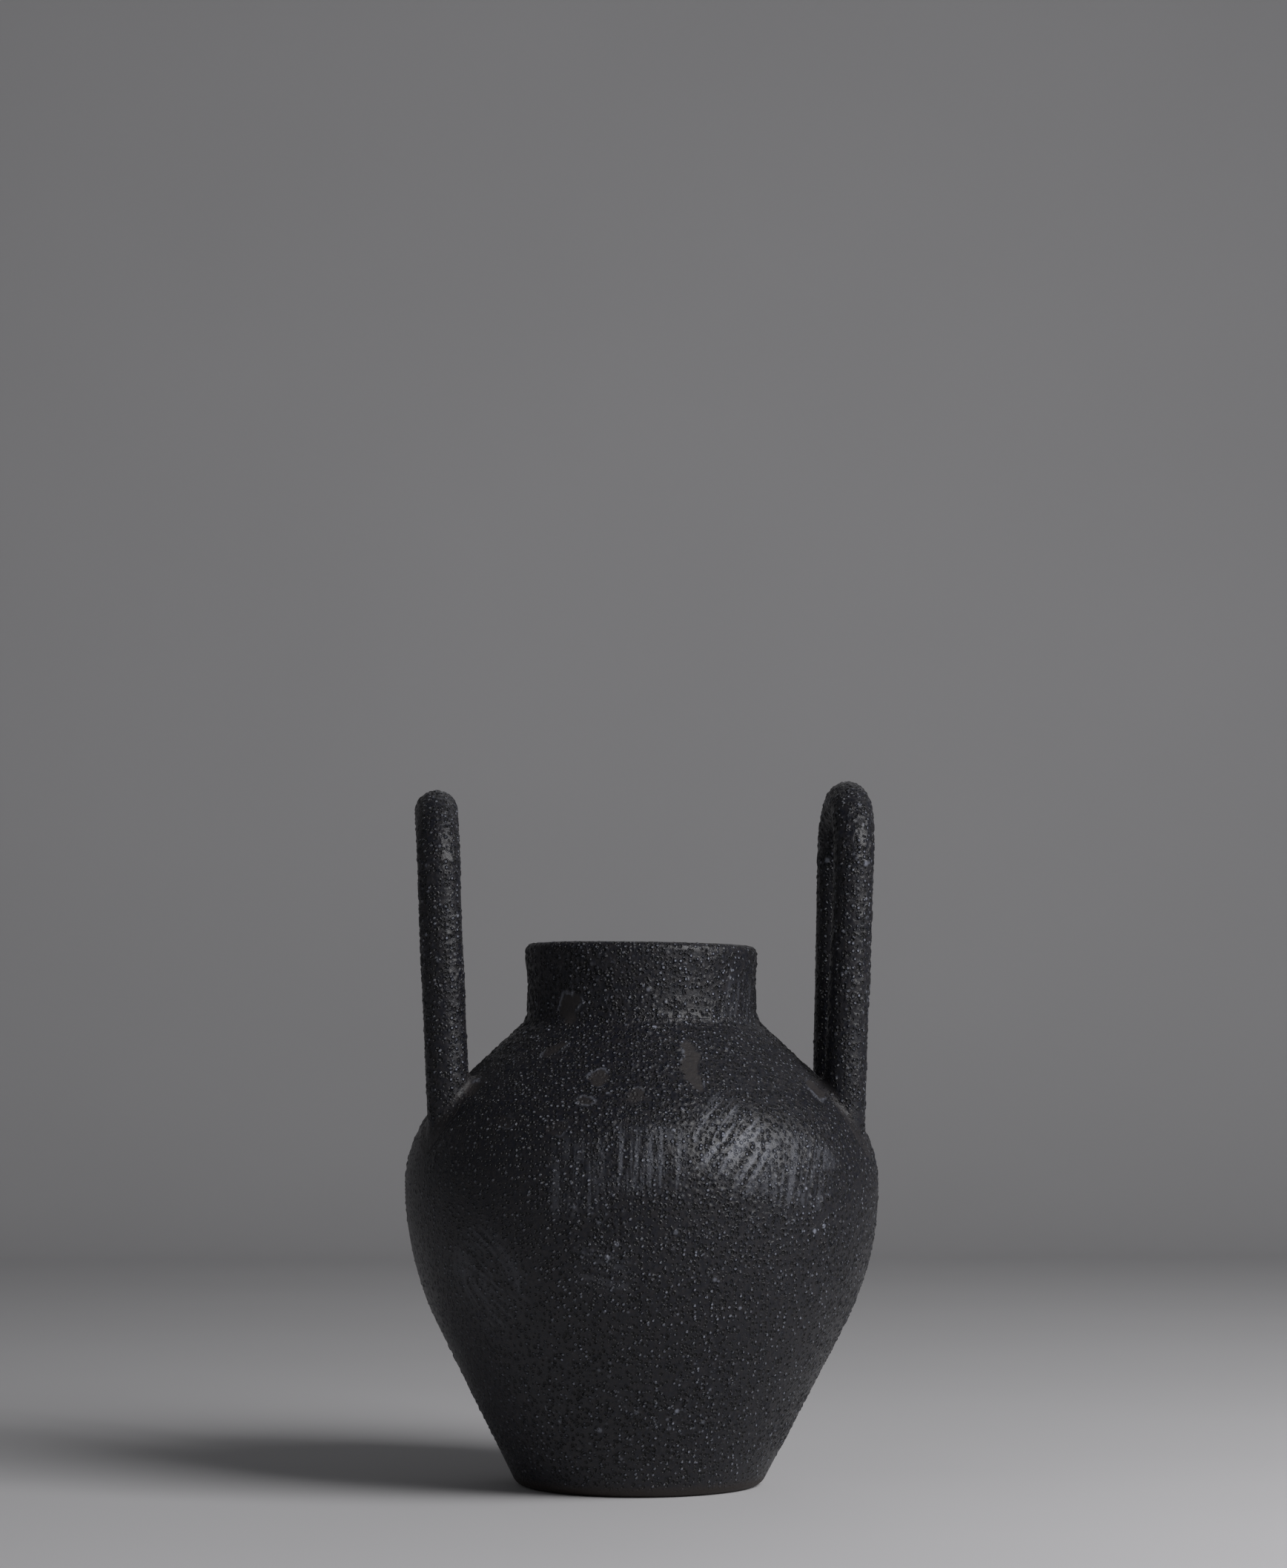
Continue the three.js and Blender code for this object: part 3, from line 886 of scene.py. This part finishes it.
class VASE_OT_handles(bpy.types.Operator):
    """Adds the two upright handles, each a coil bent over a half circle."""

    bl_idname = "vase.handles"
    bl_label = "Handles"

    def execute(self, context):
        surface = Surface(context.scene)
        for name in HANDLES:
            self.coil(surface, Handle(surface, name), crater_glaze(context.scene.glaze_look))
        return {"FINISHED"}

    def coil(self, surface, handle, glaze):
        """Circles carried up a leg, over the arch and down the other leg. On a leg a circle lies level, and
        its lower end follows the shoulder just under its surface. On the arch it is square to the bend."""
        step = surface.sizes.grid
        sides = round(2 * pi * handle.coil / step)
        turn = np.arange(sides) * 2 * pi / sides
        lowest_foot = 0.17
        levels = np.linspace(0, 1, round((handle.arch - lowest_foot) / step))[:-1, None]
        out = handle.coil * np.cos(turn)
        legs = []
        for end in (-1, 1):
            along = end * handle.coil * np.sin(turn)
            foot = handle.leg_foot(end * LEG_SPREAD, out, along) - UNDER_SHOULDER
            z = foot + (handle.arch - foot) * levels
            y = end * LEG_SPREAD + along + 0 * z
            x = handle.reach(end * LEG_SPREAD, z) + out
            normal = np.stack((np.cos(turn) + 0 * z, end * np.sin(turn) + 0 * z, 0 * z), -1)
            legs.append((np.stack((x, y, z), -1), normal))
        bend = np.linspace(0, pi, round(pi * LEG_SPREAD / step))[:, None]
        y_line, z_line = -LEG_SPREAD * np.cos(bend), handle.arch + LEG_SPREAD * np.sin(bend)
        rise = handle.coil * np.sin(turn)
        y = y_line - rise * np.cos(bend)
        z = z_line + rise * np.sin(bend)
        x = handle.reach(y_line, z_line) + out
        normal = np.stack(
            (np.cos(turn) + 0 * z, -np.sin(turn) * np.cos(bend), np.sin(turn) * np.sin(bend)), -1
        )
        points = np.concatenate((legs[0][0], np.stack((x, y, z), -1), legs[1][0][::-1]))
        normals = np.concatenate((legs[0][1], normal, legs[1][1][::-1]))
        points[..., 0] *= handle.side
        normals[..., 0] *= handle.side
        height = points[..., 2]
        thin = LEG_THINNING * ramp(height, 0.2, 0.26) * (1 - ramp(height, 0.3, 0.33)) * (handle.side > 0)
        uneven = 0.00022 * soft_noise(points / 0.02, 61)
        stand, masks = surface.relief(points, np.ones(points.shape[:2]))
        points = points + normals * (stand + uneven - thin)[..., None]
        name = f"{handle.name}_handle"
        add_piece(f"{name}_coil", points, masks, True, glaze, name)


class VASE_OT_roots(bpy.types.Operator):
    """Adds the pressed clay in the corners between the handles' legs and the shoulder."""

    bl_idname = "vase.roots"
    bl_label = "Handle roots"

    def execute(self, context):
        surface = Surface(context.scene)
        glaze = crater_glaze(context.scene.glaze_look)
        for name in HANDLES:
            for end, word in ((-1, "front"), (1, "rear")):
                self.root(surface, Handle(surface, name), end, f"{name}_{word}_root", glaze)
        return {"FINISHED"}

    def root(self, surface, handle, end, name, glaze):
        """A hollow curve carried round the leg: a quadratic from a point up the leg to a point out on the
        shoulder, pulled to their corner. It closes on itself under both surfaces."""
        sizes = surface.sizes
        columns, rows = 120, 18
        # The clay stays inside the widest ring by the margin, but keeps the least width. Its hidden part
        # goes this deep under the shoulder and into the leg
        margin, least, deep, into_leg = 0.0012, 0.0004, 0.002, 0.0025
        leg_y = end * LEG_SPREAD
        turn = np.arange(columns) * 2 * pi / columns
        inwards = atan2(-leg_y, -float(handle.reach(leg_y, 0.2)))
        facing = (1 + np.cos(turn - inwards)) / 2
        width = sizes.root_outer + (sizes.root_inner - sizes.root_outer) * facing
        width = width * (1 + 0.15 * np.sin(3 * turn + end))
        leg_x = handle.reach(leg_y, 0.165)
        from_axis = np.hypot(leg_x + handle.coil * np.cos(turn), leg_y + handle.coil * np.sin(turn))
        width = np.maximum(np.minimum(width, sizes.belly_radius - margin - from_axis), least)
        base = handle.leg_foot(leg_y, handle.coil * np.cos(turn), handle.coil * np.sin(turn))

        def around(away, lift, on_wall):
            out, along = away * np.cos(turn), away * np.sin(turn)
            z = handle.leg_foot(leg_y, out, along) if on_wall else base
            return np.stack((handle.reach(leg_y, base) + out, leg_y + along, z + lift), -1)

        up = around(handle.coil + 0.0001, width, False)
        up[..., 0] += handle.reach(leg_y, base + width) - handle.reach(leg_y, base)
        corner = around(handle.coil, 0, False)
        out = around(handle.coil + width, 0, True)
        share = np.linspace(0, 1, rows)[:, None, None]
        curve = (1 - share) ** 2 * up + 2 * share * (1 - share) * corner + share**2 * out
        curve[..., 2] += 0.00008
        below = around(handle.coil + width, -deep, True)
        inner = around(handle.coil - into_leg, -deep, False)
        hidden = around(handle.coil - into_leg, width, False)
        points = np.concatenate((curve, below[None], inner[None], hidden[None]))
        points[..., 0] *= handle.side
        amounts = np.concatenate((np.full(rows, 0.5), np.zeros(3)))[:, None] + 0 * turn
        stand, masks = surface.relief(points, amounts)
        lift = np.zeros(points.shape)
        lift[..., 2] = stand
        for mask in masks:
            masks[mask] = masks[mask] * (amounts > 0)
        masks["blotch"] = np.maximum(masks["blotch"], 0.45 * (amounts > 0))
        add_piece(f"{name}_clay", points + lift, masks, False, glaze, name)


class VASE_PT_panel(bpy.types.Panel):
    """Sizes, colours and the steps that make the vase."""

    bl_label = "Handled vase"
    bl_idname = "VASE_PT_panel"
    bl_space_type = "VIEW_3D"
    bl_region_type = "UI"
    bl_category = "Vase"

    def draw(self, context):
        for group in (context.scene.pot_sizes, context.scene.glaze_look, context.scene.studio_look):
            for key in group.__annotations__:
                self.layout.prop(group, key)
        for operator in OPERATORS:
            self.layout.operator(operator.bl_idname)


OPERATORS = (VASE_OT_stage, VASE_OT_foot, VASE_OT_walls, VASE_OT_rim, VASE_OT_handles, VASE_OT_roots)
CLASSES = (PotSizes, GlazeLook, StudioLook, *OPERATORS, VASE_PT_panel)


def register():
    for item in CLASSES:
        bpy.utils.register_class(item)
    bpy.types.Scene.pot_sizes = bpy.props.PointerProperty(type=PotSizes)
    bpy.types.Scene.glaze_look = bpy.props.PointerProperty(type=GlazeLook)
    bpy.types.Scene.studio_look = bpy.props.PointerProperty(type=StudioLook)


def unregister():
    del bpy.types.Scene.studio_look
    del bpy.types.Scene.glaze_look
    del bpy.types.Scene.pot_sizes
    for item in reversed(CLASSES):
        bpy.utils.unregister_class(item)


def main():
    register()
    bpy.ops.vase.stage()
    bpy.ops.vase.foot()
    bpy.ops.vase.walls()
    bpy.ops.vase.rim()
    bpy.ops.vase.handles()
    bpy.ops.vase.roots()


if __name__ == "__main__":
    main()
